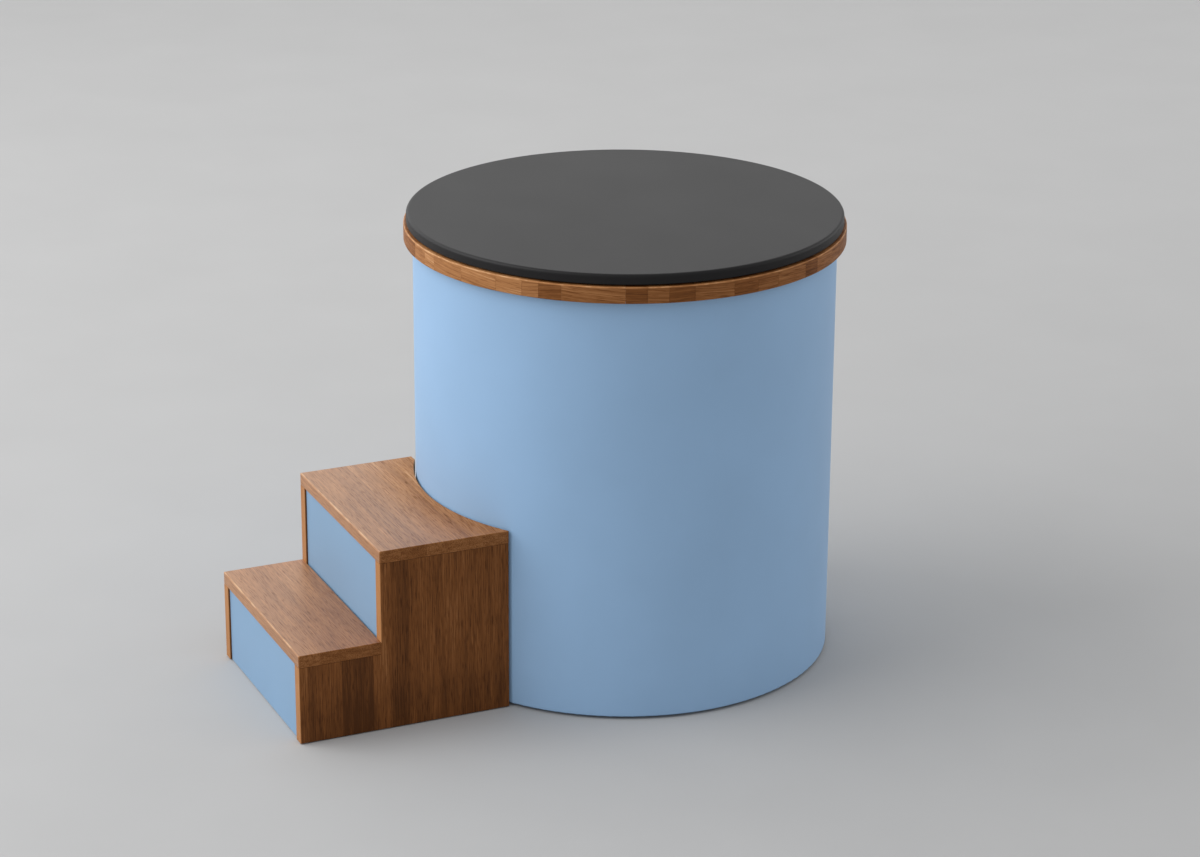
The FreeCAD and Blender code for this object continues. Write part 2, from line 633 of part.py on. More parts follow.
def valve_lever():
    """Strip bent up away from the valve, with round ends, across the pipe when closed."""
    left = VALVE_Y - LEVER_W / 2
    right = VALVE_Y + LEVER_W / 2
    high = LEVER_Z + LEVER_JOG_RISE
    jog_end = LEVER_JOG_START + LEVER_JOG_RUN
    bend = LEVER_T / 2
    side = [(-LEVER_TAIL, LEVER_Z), (LEVER_JOG_START, LEVER_Z), (jog_end, high), (LEVER_LENGTH, high),
            (LEVER_LENGTH, high + LEVER_T), (jog_end - bend, high + LEVER_T),
            (LEVER_JOG_START - bend, LEVER_Z + LEVER_T), (-LEVER_TAIL, LEVER_Z + LEVER_T)]
    strip = Part.Face(outline(side, lambda x, z: Vector(x, left, z))).extrude(OUT * LEVER_W)
    ends = [(-LEVER_TAIL, left, LEVER_ROUND), (LEVER_LENGTH, left, LEVER_ROUND),
            (LEVER_LENGTH, right, LEVER_ROUND), (-LEVER_TAIL, right, LEVER_ROUND)]
    plan = Part.Face(outline(ends, lambda x, y: Vector(x, y, LEVER_Z)))
    hole = upright(STEM_R + SLOT_CLEAR / 2, VALVE_Y, LEVER_Z, LEVER_Z + LEVER_T)
    return to_drain(strip.common(plan.extrude(UP * STEM_TOP)).cut(hole))


def lever_grip():
    """Dipped sleeve over the outer end of the lever."""
    start = LEVER_LENGTH - GRIP_LENGTH
    end = LEVER_LENGTH + GRIP_WALL
    low = LEVER_Z + LEVER_JOG_RISE
    half = LEVER_W / 2 + GRIP_WALL
    sleeve = block(start, end, VALVE_Y - half, VALVE_Y + half, low - GRIP_WALL, low + LEVER_T + GRIP_WALL)
    sleeve = sleeve.makeFillet(GRIP_ROUND, [e for e in sleeve.Edges if e.BoundBox.XMax > start + FIT])
    pocket = block(start, LEVER_LENGTH + SLOT_CLEAR, VALVE_Y - LEVER_W / 2 - SLOT_CLEAR,
                   VALVE_Y + LEVER_W / 2 + SLOT_CLEAR, low - SLOT_CLEAR, low + LEVER_T + SLOT_CLEAR)
    return to_drain(sleeve.cut(pocket))


def lever_nut():
    """Nut that holds the lever on the stem."""
    foot = LEVER_Z + LEVER_T
    prism = hexagon(LEVER_NUT_FLATS, Vector(0, VALVE_Y, foot), UP * LEVER_NUT_T)
    return to_drain(prism.cut(upright(STEM_R + SLOT_CLEAR / 2, VALVE_Y, foot, foot + LEVER_NUT_T)))


def scoop(z0, z1):
    """Upright cylinder that clears the tub's shell, seen from the steps' middle plane."""
    return cylinder(SCOOP_R, Vector(-STEP_OFFSET, 0, z0), Vector(-STEP_OFFSET, 0, z1))


def left_tip(back, z0, z1):
    """Block that cuts a left tip square."""
    return block(-STEP_HALF, 0, back, 0, z0, z1)


def step_sides():
    """Right and left side panels, stepped at the front and scooped at the back."""
    face = Part.Face(outline([(LOWER_FRONT, GLIDE_T), (LOWER_FRONT, LOWER_SEAT), (UPPER_FRONT, LOWER_SEAT),
                              (UPPER_FRONT, UPPER_SEAT), (PANEL_BACK, UPPER_SEAT), (PANEL_BACK, GLIDE_T)],
                             lambda y, z: Vector(PANEL_INNER, y, z)))
    panel = face.extrude(Vector(PANEL_T, 0, 0))
    panel = eased(panel, PANEL_EASE, lambda p: p.x > STEP_HALF - FIT
                  and min(abs(p.y - LOWER_FRONT), abs(p.y - UPPER_FRONT)) < FIT)
    cuts = [scoop(0, UPPER_TOP), left_tip(LEFT_BACK - PANEL_BACK_INSET, 0, UPPER_TOP)]
    cuts += cleat_screws(SCREW_CLEAR) + rail_dowels(FIT)
    return [side.cut(cuts) for side in mirrored([panel])]


def lower_tread():
    """Lower board, which ends in line with the upper tread's front and short of the upper riser."""
    board = block(-STEP_HALF, STEP_HALF, LOWER_FRONT, UPPER_FRONT, LOWER_SEAT, LOWER_TOP)
    board = eased(board, TREAD_EASE, lambda p: p.y < UPPER_FRONT - FIT)
    return board.cut(tread_screws(SCREW_CLEAR))


def upper_tread():
    """Upper board, scooped to follow the tub, with blunt tips."""
    board = block(-STEP_HALF, STEP_HALF, UPPER_FRONT, TREAD_BACK, UPPER_SEAT, UPPER_TOP)
    board = board.cut([scoop(UPPER_SEAT, UPPER_TOP), left_tip(LEFT_BACK, UPPER_SEAT, UPPER_TOP)])
    board = board.makeFillet(TREAD_EASE, board.Edges)
    return board.cut(tread_screws(SCREW_CLEAR))


def lower_riser():
    """Painted panel that closes the front, set back between the side panels."""
    panel = block(-PANEL_INNER, PANEL_INNER, LOWER_RISER_BACK - RISER_T, LOWER_RISER_BACK, GLIDE_T, LOWER_SEAT)
    return panel.cut(riser_screws(SCREW_CLEAR))


def upper_riser():
    """Painted panel between the treads, which laps the rail under the lower tread."""
    panel = block(-PANEL_INNER, PANEL_INNER, UPPER_RISER_FACE, UPPER_RISER_BACK, LOWER_SEAT - RAIL_H, UPPER_SEAT)
    return panel.cut(riser_screws(SCREW_CLEAR))


def rails():
    """Rails between the side panels: under the lower tread, under the upper tread and low at the back."""
    spans = ((MID_RAIL_FRONT, UPPER_RISER_FACE, LOWER_SEAT - RAIL_H),
             (REAR_RAIL_FRONT, REAR_RAIL_BACK, UPPER_SEAT - RAIL_H),
             (REAR_RAIL_FRONT, REAR_RAIL_BACK, LOW_RAIL_Z))
    return [(front, back, z, block(-PANEL_INNER, PANEL_INNER, front, back, z, z + RAIL_H))
            for front, back, z in spans]


def rail_dowels(clear=0.0):
    """Two dowels in each end of each rail."""
    dowels = []
    half = DOWEL_LENGTH / 2 + clear
    for front, back, z, _ in rails():
        for side in (-1, 1):
            centre = Vector(PANEL_INNER, (front + back) / 2, z + RAIL_H / 2 + side * DOWEL_PITCH / 2)
            reach = Vector(half, 0, 0)
            dowels.append(cylinder(DOWEL_R + clear, centre - reach, centre + reach))
    return mirrored(dowels)


def doweled_rails():
    """The rails, bored for their dowels."""
    return [rail.cut(rail_dowels(FIT)) for _, _, _, rail in rails()]


def tread_cleat_spans():
    """Front, back and top of the battens under the treads, along the right panel."""
    return ((LOWER_RISER_BACK, MID_RAIL_FRONT, LOWER_SEAT), (UPPER_RISER_BACK, REAR_RAIL_FRONT, UPPER_SEAT))


def riser_cleat_spans():
    """Front, foot and top of the battens behind the risers, along the right panel."""
    return ((LOWER_RISER_BACK, GLIDE_T, LOWER_SEAT - CLEAT), (UPPER_RISER_BACK, LOWER_SEAT, UPPER_SEAT - CLEAT))


def cleat_screws(clear=0.0):
    """Screws through the battens into the side panels."""
    inner = PANEL_INNER - CLEAT
    heads = []
    for front, back, top in tread_cleat_spans():
        for y in (front + SCREW_END_GAP, back - SCREW_END_GAP):
            heads.append(Vector(inner, y, top - CLEAT / 2))
    for front, foot, top in riser_cleat_spans():
        for z in (foot + SCREW_END_GAP, top - SCREW_END_GAP):
            heads.append(Vector(inner, front + CLEAT / 2, z))
    return mirrored([screw(CLEAT + PANEL_GRIP, head, Vector(1, 0, 0), clear) for head in heads])


def tread_screws(clear=0.0):
    """Screws up through the battens into the treads."""
    heads = []
    for front, back, top in tread_cleat_spans():
        for y in (front + SCREW_END_GAP + SCREW_STAGGER, back - SCREW_END_GAP - SCREW_STAGGER):
            heads.append(Vector(PANEL_INNER - CLEAT / 2, y, top - CLEAT))
    return mirrored([screw(CLEAT + TREAD_GRIP, head, UP, clear) for head in heads])


def riser_screws(clear=0.0):
    """Screws forward through the upright battens into the risers."""
    heads = []
    for front, foot, top in riser_cleat_spans():
        for z in (foot + SCREW_END_GAP + SCREW_STAGGER, top - SCREW_END_GAP - SCREW_STAGGER):
            heads.append(Vector(PANEL_INNER - CLEAT / 2, front + CLEAT, z))
    return mirrored([screw(CLEAT + RISER_GRIP, head, Vector(0, -1, 0), clear) for head in heads])


def tread_cleats():
    """Battens on the side panels under the treads."""
    holes = cleat_screws(SCREW_CLEAR) + tread_screws(SCREW_CLEAR)
    battens = [block(PANEL_INNER - CLEAT, PANEL_INNER, front, back, top - CLEAT, top)
               for front, back, top in tread_cleat_spans()]
    return [b.cut(holes) for b in mirrored(battens)]


def riser_cleats():
    """Upright battens on the side panels behind the risers."""
    holes = cleat_screws(SCREW_CLEAR) + riser_screws(SCREW_CLEAR)
    battens = [block(PANEL_INNER - CLEAT, PANEL_INNER, front, front + CLEAT, foot, top)
               for front, foot, top in riser_cleat_spans()]
    return [b.cut(holes) for b in mirrored(battens)]


def step_glides():
    """Pads under the side panels."""
    middle = STEP_HALF - PANEL_T / 2
    pads = []
    for y in (LOWER_FRONT + GLIDE_INSET, GLIDE_BACK - GLIDE_LENGTH):
        pads.append(block(middle - GLIDE_W / 2, middle + GLIDE_W / 2, y, y + GLIDE_LENGTH, 0, GLIDE_T))
    return mirrored(pads)


os.makedirs("parts", exist_ok=True)

save("outer_shell", outer_shell())
save("base_plinth", base_plinth())
save("base_panel", base_panel())
save("base_screws", base_screws())
save("floor_insulation", floor_insulation())
save("cove_insulation", cove_insulation())
save("wall_insulation", wall_insulation())
save("liner", liner())
save("rim_support", rim_support())
save("rim_segments", rim_segments())
save("rim_tenons", rim_tenons())
save("rim_screws", rim_screws())

save("drain_flange", drain_flange())
save("drain_strainer", drain_strainer())
save("drain_gasket", drain_gasket())
save("drain_nut", drain_nut())
save("drain_elbow", drain_elbow())
save("drain_pipe", drain_pipe())
save("pipe_grommet", pipe_grommet())
save("valve_body", valve_body())
save("valve_seats", valve_seats())
save("hose_tail", hose_tail())
save("valve_ball", valve_ball())
save("valve_stem", valve_stem())
save("valve_lever", valve_lever())
save("lever_grip", lever_grip())
save("lever_nut", lever_nut())

save("lid_shell", lid_shell())
save("lid_pan", lid_pan())
save("lid_core", lid_core())
save("lid_plug_core", lid_plug_core())
save("lid_gasket", lid_gasket())

right_panel, left_panel = step_sides()
save("step_side_right", to_steps(right_panel))
save("step_side_left", to_steps(left_panel))
save("lower_tread", to_steps(lower_tread()))
save("upper_tread", to_steps(upper_tread()))
save("lower_riser", to_steps(lower_riser()))
save("upper_riser", to_steps(upper_riser()))
save("step_rails", to_steps(doweled_rails()))
save("rail_dowels", to_steps(rail_dowels()))
save("tread_cleats", to_steps(tread_cleats()))
save("riser_cleats", to_steps(riser_cleats()))
save("cleat_screws", to_steps(cleat_screws()))
save("tread_screws", to_steps(tread_screws()))
save("riser_screws", to_steps(riser_screws()))
save("step_glides", to_steps(step_glides()))
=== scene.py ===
# %% [markdown]
# # A barrel cold plunge tub and its steps
# A CAD model gives every piece of this tub its true size and place. This lesson gives the pieces
# their looks: powder coat, oiled wood, charcoal plastic and plated metal, in a plain studio. The CAD
# meshes are never moved or edited. Where a finish needs a surface that the CAD piece lacks, a new
# piece is modelled over it and stands for it.

# %% Load the CAD frame
import math

import bmesh
import bpy
from mathutils import Matrix, Quaternion, Vector


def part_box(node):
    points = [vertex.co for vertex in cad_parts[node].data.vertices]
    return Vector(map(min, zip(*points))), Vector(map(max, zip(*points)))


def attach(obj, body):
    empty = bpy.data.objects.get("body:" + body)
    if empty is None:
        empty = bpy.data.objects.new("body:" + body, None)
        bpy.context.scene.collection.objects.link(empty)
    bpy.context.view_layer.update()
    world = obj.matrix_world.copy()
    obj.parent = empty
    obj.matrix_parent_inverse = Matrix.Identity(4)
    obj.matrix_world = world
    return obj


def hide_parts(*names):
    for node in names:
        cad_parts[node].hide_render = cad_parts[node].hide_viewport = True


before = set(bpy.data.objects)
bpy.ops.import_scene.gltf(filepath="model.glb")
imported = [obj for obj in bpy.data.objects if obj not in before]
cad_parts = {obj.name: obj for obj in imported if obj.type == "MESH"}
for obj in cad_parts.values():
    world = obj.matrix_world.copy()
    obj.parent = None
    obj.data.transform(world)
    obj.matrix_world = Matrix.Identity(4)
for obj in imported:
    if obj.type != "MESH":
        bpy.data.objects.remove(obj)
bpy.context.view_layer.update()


print("CAD pieces:", len(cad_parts))

# %% [markdown]
# ## Shader maths as Python
# A material in Blender is a graph of nodes, and long sums in it are hard to read. `Wire` wraps one
# socket of that graph, so that `0.9 + clouds * 0.2` adds the Math nodes by itself. `Graph` holds the
# nodes. Its method `node` adds any of them: the settings go in first, because they decide which
# sockets the node has. A graph can belong to a material or to the sky.

# %% A socket that takes part in sums
FULL_SHARE = 0.4            # share of a reach over which `near` stays at 1


class Wire:
    """One output socket. An operator on it adds a Math node."""

    def __init__(self, graph, socket):
        self.graph = graph
        self.socket = socket

    def math(self, operation, other=0.0):
        return self.graph.node("Math", {"operation": operation}, {0: self, 1: other})

    def __add__(self, other):
        return self.math("ADD", other)

    __radd__ = __add__

    def __sub__(self, other):
        return self.math("SUBTRACT", other)

    def __rsub__(self, other):
        return self * -1 + other

    def __mul__(self, other):
        return self.math("MULTIPLY", other)

    __rmul__ = __mul__

    def __truediv__(self, other):
        return self.math("DIVIDE", other)

    def __abs__(self):
        return self.math("ABSOLUTE")

    def span(self, low, high):
        """Stretch a value that runs from 0 to 1, so that it runs from low to high."""
        return self * (high - low) + low

    def step(self, low, high):
        """0 below low, 1 above high and a soft climb between."""
        return self.graph.node("MapRange", {"interpolation_type": "SMOOTHSTEP"},
                               {"Value": self, "From Min": low, "From Max": high})

    def near(self, reach):
        """1 where the value is about zero or less, and 0 beyond the reach."""
        return 1 - self.step(FULL_SHARE * reach, reach)


# %% Nodes of a material or of the sky
class Graph:
    """A tree of nodes."""

    def __init__(self, tree):
        self.tree = tree

    def plug(self, socket, value):
        """Link a wire to a socket, or set a plain value on it."""
        if isinstance(value, Wire):
            self.tree.links.new(value.socket, socket)
        else:
            socket.default_value = value

    def node(self, kind, settings, sockets, output=0):
        """Add a node of a type with its settings and sockets, and return one of its outputs."""
        made = self.tree.nodes.new("ShaderNode" + kind)
        for key, value in settings.items():
            if key == "stops":
                self.fill_ramp(made.color_ramp, value)
            elif key == "ramp_interpolation":
                made.color_ramp.interpolation = value
            else:
                setattr(made, key, value)
        for key, value in sockets.items():
            self.plug(made.inputs[key], value)
        return Wire(self, made.outputs[output])

    def fill_ramp(self, ramp, stops):
        """Stops are pairs of a position from 0 to 1 and a colour; the first stands at 0."""
        ramp.elements.remove(ramp.elements[1])
        ramp.elements[0].color = (*stops[0][1], 1)
        for position, colour in stops[1:]:
            ramp.elements.new(position).color = (*colour, 1)

    def vector(self, x, y, z):
        return self.node("CombineXYZ", {}, {"X": x, "Y": y, "Z": z})


# %% A material with its shader
NOISE_DETAIL = 3.0          # finer layers that a noise adds to its blots


class Finish(Graph):
    """One material. What is the same all over it is set on the shader's own sockets."""

    def __init__(self, name, constants):
        self.material = bpy.data.materials.new(name)
        self.material.use_nodes = True
        super().__init__(self.material.node_tree)
        self.shader = self.tree.nodes["Principled BSDF"]
        for socket, value in constants.items():
            self.shader.inputs[socket].default_value = value

    def axes(self):
        """The piece's own x, y and z in metres."""
        place = self.node("TexCoord", {}, {}, "Object")
        return [self.node("SeparateXYZ", {}, {"Vector": place}, axis) for axis in "XYZ"]

    def noise(self, x, y, z, detail=NOISE_DETAIL):
        """Soft blots about one unit across."""
        return self.node("TexNoise", {},
                         {"Vector": self.vector(x, y, z), "Scale": 1.0, "Detail": detail})

    def blots(self, size, detail=NOISE_DETAIL):
        """Soft blots of that size in metres, the same in every direction."""
        x, y, z = self.axes()
        return self.noise(x / size, y / size, z / size, detail)

    def tinted(self, colour, tone):
        """The colour made lighter or darker by the tone."""
        return self.node("VectorMath", {"operation": "SCALE"}, {0: colour, "Scale": tone})

    def set(self, **values):
        """Feed the shader's sockets; Base_Color stands for Base Color."""
        for name, value in values.items():
            self.plug(self.shader.inputs[name.replace("_", " ")], value)
        return self

    def relief(self, height, depth):
        """Raise and sink the surface by up to that depth in metres, in its shading alone."""
        return self.set(Normal=self.node("Bump", {}, {"Height": height, "Distance": depth}))

    def cover(self, *names):
        """Give this finish to CAD pieces or new pieces."""
        for name in names:
            mesh = bpy.data.objects[name].data
            mesh.materials.clear()
            mesh.materials.append(self.material)
        print(self.material.name, "covers", ", ".join(names))


# %% [markdown]
# ## The painted shell
# The tub's outside is a rolled sheet with a matte powder coat. Baked powder flows into a skin with a
# faint orange peel, and its colour clouds a little over a large face. A plain colour would look like
# paper, so one noise clouds the colour and the gloss, and a second, a millimetre or two across, makes
# the peel. The steps' risers have that blue darkened as painted shade, rolled on to board, so they
# share the function.

# %% Blue paint on the shell and the risers
SHELL_BLUE = (0.311, 0.499, 0.746)
# the risers' blue is the shell's blue darkened as painted shade
RISER_SHADED_BLUE = (0.235, 0.374, 0.545)
CLOUD_SIZE = 0.22           # metres


def paint(name, colour, gloss, peel_size, peel_depth):
    """Matte paint with faint clouds in it and an orange peel of that size and depth in metres."""
    coat = Finish(name, {"Specular IOR Level": gloss})
    clouds = coat.blots(CLOUD_SIZE)
    coat.set(Base_Color=coat.tinted(colour, clouds.span(0.93, 1.07)),
             Roughness=clouds.span(0.50, 0.60))
    return coat.relief(coat.blots(peel_size, detail=2.0), peel_depth)


shell_coat = paint("shell_powder_coat", SHELL_BLUE, gloss=0.5, peel_size=0.0014, peel_depth=0.00006)
shell_coat.cover("outer_shell")
riser_coat = paint("riser_paint", RISER_SHADED_BLUE, gloss=0.25, peel_size=0.0022, peel_depth=0.00008)
riser_coat.cover("lower_riser", "upper_riser")

# %% [markdown]
# ## Wood
# Rim, treads and side panels are the same oiled hardwood. Wood looks like wood because everything in
# it is drawn out along the grain: broad figure, streaks and short pores. A noise gets that form when
# its coordinates are divided by a length along the grain and a width across it. The tone says how
# dark a single board is, because no two boards in a glued panel match. Hands and feet rub the oil off
# the edges, so the wood is paler where it is worn. The same pale mix also paints highlights on
# edges, and painted light on faces that the lamp falls on.

# %% Hardwood from three drawn-out noises
WOOD_DARK = (0.082, 0.027, 0.0065)
WOOD_MIDDLE = (0.210, 0.074, 0.019)
WOOD_LIGHT = (0.470, 0.215, 0.082)
# the palest colour, for wear and for painted highlights and painted light on lit faces
WOOD_WEAR_AND_LIGHT = (0.720, 0.440, 0.230)
WOOD_STOPS = ((0.0, WOOD_DARK), (0.36, WOOD_MIDDLE), (0.80, WOOD_LIGHT), (1.0, WOOD_WEAR_AND_LIGHT))

FIGURE = (0.30, 0.022, 0.006, 2.0)      # length, width and thickness in metres, and detail
STREAKS = (0.10, 0.0024, 0.0016, 3.0)
PORES = (0.030, 0.0016, 0.0012, 1.0)
PORE_EDGE = (0.54, 0.66)    # the noise is a pore where it climbs through these values
NOISE_MEAN = 0.5
PORE_MEAN = 0.1             # the share of a face that pores take up
FIGURE_TONE = 0.40          # how much each of the three changes the tone
STREAK_TONE = 0.70
PORE_TONE = 0.22
PORE_ROUGHNESS = 0.2        # added in the pores
PORE_DROP = 0.5             # how far pores sink, where 1 is the height of the streaks
GRAIN_DEPTH = 0.0002


def hardwood(finish, along, across, through, tone, wear_and_painted_light):
    """Oiled wood with its grain along one axis; the tone runs from 0, dark, to 0.8, light."""
    def fibres(length, width, thickness, detail):
        return finish.noise(along / length, across / width, through / thickness, detail)

    figure = fibres(*FIGURE)
    streaks = fibres(*STREAKS)
    pores = fibres(*PORES).step(*PORE_EDGE)
    fresh = (tone + (figure - NOISE_MEAN) * FIGURE_TONE + (streaks - NOISE_MEAN) * STREAK_TONE
             - (pores - PORE_MEAN) * PORE_TONE)
    # wear, painted highlights and painted light lift the shade toward the palest colour
    shade = fresh + wear_and_painted_light * (1 - fresh)
    colour = finish.node("ValToRGB", {"stops": WOOD_STOPS}, {"Fac": shade})
    finish.set(Base_Color=colour, Roughness=streaks.span(0.40, 0.56) + pores * PORE_ROUGHNESS)
    return finish.relief(streaks - pores * PORE_DROP, GRAIN_DEPTH)


print("hardwood has", len(WOOD_STOPS), "colours, from dark to worn")

# %% [markdown]
# ## The rim's blocks
# The rim is a ring of short blocks, glued end to end, and each block has its own tone. Painting the
# joints on a smooth ring would do from afar. Here every block is a solid of its own, because then a
# hairline joint and a change of tone fall in the same place. The outline of the rim is one face with
# its corners rounded by a vertex bevel, and a spin sweeps that face round the tub's axis. Each
# block's tone is stored on its vertices as an attribute that the wood reads.

# %% Widths and tones of the blocks
MILLIMETRE = 0.001
FRONT_START = -92.3         # degrees from +X, where the first block seen from the front begins
FRONT_BLOCKS = (            # width in millimetres and tone
    (50, 0.67), (38, 0.72), (88, 0.68), (88, 0.70), (58, 0.71), (35, 0.61), (46, 0.38), (123, 0.49),
    (42, 0.31), (41, 0.46), (51, 0.34), (81, 0.46), (54, 0.34), (50, 0.44), (80, 0.46))
BACK_WIDTH = 60             # of the blocks round the back, on average, in millimetres
NARROWEST = 0.7             # share of that width
WIDTH_RANGE = 0.6
DARKEST = 0.25              # tone
TONE_RANGE = 0.3
GOLDEN = 0.618034           # its multiples never settle into a pattern

rim_low, rim_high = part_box("rim_segments")
rim_girth = 2 * math.pi * rim_high.x / MILLIMETRE
left_over = rim_girth - sum(width for width, tone in FRONT_BLOCKS)
back_count = round(left_over / BACK_WIDTH)
back_shares = [NARROWEST + WIDTH_RANGE * (i * GOLDEN % 1) for i in range(back_count)]
back_blocks = [(share * left_over / sum(back_shares), DARKEST + TONE_RANGE * (i * GOLDEN * 3 % 1))
               for i, share in enumerate(back_shares)]
print("rim blocks:", len(FRONT_BLOCKS) + back_count, "round", round(rim_girth), "mm")

# %% Outline with round corners
ROUND_STEPS = 5
GUARD = 0.0008              # strip beside a round where smooth shading may settle


def rounded_outline(bm, corners):
    """A face through corners (distance from the tub's axis, height, radius) on the +X side."""
    points = [Vector((distance, 0, height)) for distance, height, radius in corners]
    verts = []
    rounds = []
    for i, point in enumerate(points):
        radius = corners[i][2]
        vert = bm.verts.new(point)
        if radius:
            before = (points[i - 1] - point).normalized()
            after = (points[(i + 1) % len(points)] - point).normalized()
            guards = [bm.verts.new(point + side * (radius + GUARD)) for side in (before, after)]
            verts += [guards[0], vert, guards[1]]
            rounds.append((vert, radius))
        else:
            verts.append(vert)
    bm.faces.new(verts)
    for vert, radius in rounds:
        bmesh.ops.bevel(bm, geom=[vert], offset=radius, offset_type="OFFSET", segments=ROUND_STEPS,
                        profile=0.5, affect="VERTICES", material=-1)


# %% Spin one outline per block
RIM_WIDTH = 0.073           # from the bore to the outer face
RIM_ROUND = 0.0025          # top corners
RIM_EASE = 0.002            # bottom corners
BLOCK_JOINT = 0.0003        # hairline between two blocks
BLOCK_STEPS = 6


def rim_block(mesh, start, end, tone):
    """Add one block between two angles to the rim's mesh."""
    bore = rim_high.x - RIM_WIDTH
    bm = bmesh.new()
    rounded_outline(bm, [(bore, rim_low.z, RIM_EASE), (rim_high.x, rim_low.z, RIM_EASE),
                         (rim_high.x, rim_high.z, RIM_ROUND), (bore, rim_high.z, RIM_ROUND)])
    bmesh.ops.rotate(bm, verts=bm.verts, cent=(0, 0, 0), matrix=Matrix.Rotation(start, 3, "Z"))
    bmesh.ops.spin(bm, geom=[*bm.verts, *bm.edges, *bm.faces], cent=(0, 0, 0), axis=(0, 0, 1),
                   angle=end - start, steps=BLOCK_STEPS, use_merge=False)
    bmesh.ops.recalc_face_normals(bm, faces=bm.faces)
    layer = bm.verts.layers.float.new("tone")
    for vert in bm.verts:
        vert[layer] = tone
    bm.from_mesh(mesh)
    bm.to_mesh(mesh)
    bm.free()


rim_mesh = bpy.data.meshes.new("rim_blocks")
angle = math.radians(FRONT_START)
for width, tone in (*FRONT_BLOCKS, *back_blocks):
    turn = width * MILLIMETRE / rim_high.x
    rim_block(rim_mesh, angle, angle + turn - BLOCK_JOINT / rim_high.x, tone)
    angle += turn
print("rim mesh:", len(rim_mesh.vertices), "points")

# %% Shade the blocks smooth and hand them to the tub
SHARP = math.radians(40)    # an edge that turns more than this stays sharp


def new_piece(mesh, body, slot, *stands_for):
    """Put a mesh in the scene, to ride on a body in place of CAD pieces.

    It is shaded smooth but for its sharp edges.
    """
    mesh.shade_smooth()
    mesh.set_sharp_from_angle(angle=SHARP)
    piece = bpy.data.objects.new(mesh.name, mesh)
    bpy.context.scene.collection.objects.link(piece)
    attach(piece, body)
    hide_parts(*stands_for)
    print(piece.name, "has", len(mesh.polygons), "faces")


new_piece(rim_mesh, "tub", "rim_wood", "rim_segments")

# %% [markdown]
# ## Wood of the rim
# The grain of a block runs round the rim, so the wood needs coordinates that bend with it: the length
# along the ring, the distance from the axis and the height. The tone moves each block's pattern a
# long way along the grain, so that no streak runs on from one block into the next, and it also tilts
# the grain, because short blocks are cut from crooked offcuts. The outer top edge is worn, and a
# pale painted highlight lies along it. Both are stronger in some places than in others, so a noise
# chips them.

# %% Grain that bends with the ring
WOOD_GLOSS = 0.12
CHIP_EDGE = (0.35, 0.65)    # wear and painted highlight break where a noise climbs through these
RIM_CHIP = 0.02             # size of the chips
RIM_EDGE_REACH = 0.003            # how far the worn edge and its painted highlight reach
RIM_SHIFT = 37              # metres along the grain for a tone of 1
TILT_TURN = 29              # scatters the tilts, so that like tones don't tilt alike
TILT_MOST = 0.08            # rise of the grain in a metre

rim_wood = Finish("rim_hardwood", {"Specular IOR Level": WOOD_GLOSS})
x, y, z = rim_wood.axes()
tone = rim_wood.node("Attribute", {"attribute_name": "tone"}, {}, "Fac")
arc = y.math("ARCTAN2", x) * rim_high.x
radius = (x * x + y * y).math("SQRT")
tilt = (tone * TILT_TURN).math("SINE") * TILT_MOST
# the outer top edge is paler from wear and from a painted highlight
edge = (rim_high.x - radius).near(RIM_EDGE_REACH) * (rim_high.z - z).near(RIM_EDGE_REACH)
chips = rim_wood.blots(RIM_CHIP).step(*CHIP_EDGE)
wear_and_painted_light = edge * chips.span(0.4, 0.8)
hardwood(rim_wood, arc + tone * RIM_SHIFT, radius, z + arc * tilt, tone, wear_and_painted_light)
rim_wood.cover("rim_blocks")

# %% [markdown]
# ## Wood of the steps
# The treads have their grain from side to side, and the side panels are glued up from upright staves.
# A ramp with hard stops turns the place from front to back into the tone of a stave, which is quicker
# to change than a mesh of staves. On top the oil dries to a film with a soft sheen, which is the
# shader's coat. Water that drips beside the tub strips the film there. End grain drinks the oil, so
# it goes darker and stays dull. The front edges, where feet land, are rubbed pale. The front faces,
# which face the lamp, also carry painted light, with a painted highlight along their top edge, and
# the left of each tread is painted paler as a painted sheen.

# %% Tone of a stave
def stave_tones(finish, place, depth, staves):
    """The tone of the stave at a place from 0 to the depth, in metres.

    Staves are pairs of a start in millimetres from the front and a tone.
    """
    stops = [(start * MILLIMETRE / depth, (tone, tone, tone)) for start, tone in staves]
    ramp = finish.node("ValToRGB", {"ramp_interpolation": "CONSTANT", "stops": stops},
                       {"Fac": place / depth})
    return finish.node("SeparateColor", {}, {"Color": ramp}, "Red")


# %% Treads with their grain along x
LOWER_STAVES = ((0, 0.61), (44, 0.55), (97, 0.57), (150, 0.53))
UPPER_STAVES = ((0, 0.61), (44, 0.56), (97, 0.62), (150, 0.65), (214, 0.62))
TREAD_CHIP = 0.05           # size of the chips
TREAD_EDGE_REACH = 0.004          # how far the worn, lighter-painted front reaches
FRONT_FACE_PAINTED_LIGHT = 0.12           # painted light on the front face; more on its top edge, as wear and painted highlight
TREAD_SHIFT = 41            # metres along the grain for a tone of 1
LEFT_PAINTED_SHEEN = 0.30            # painted sheen: tone gained in a metre toward the left
END_REACH = 0.002           # how far in from the end the end grain shows
END_GRAIN = 0.10            # taken off the tone
FILM_ROUGHNESS = 0.45
DRIP_REACH = 0.56           # from the tub's axis; nearer than this, dripping water strips the film

tub_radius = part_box("outer_shell")[1].x


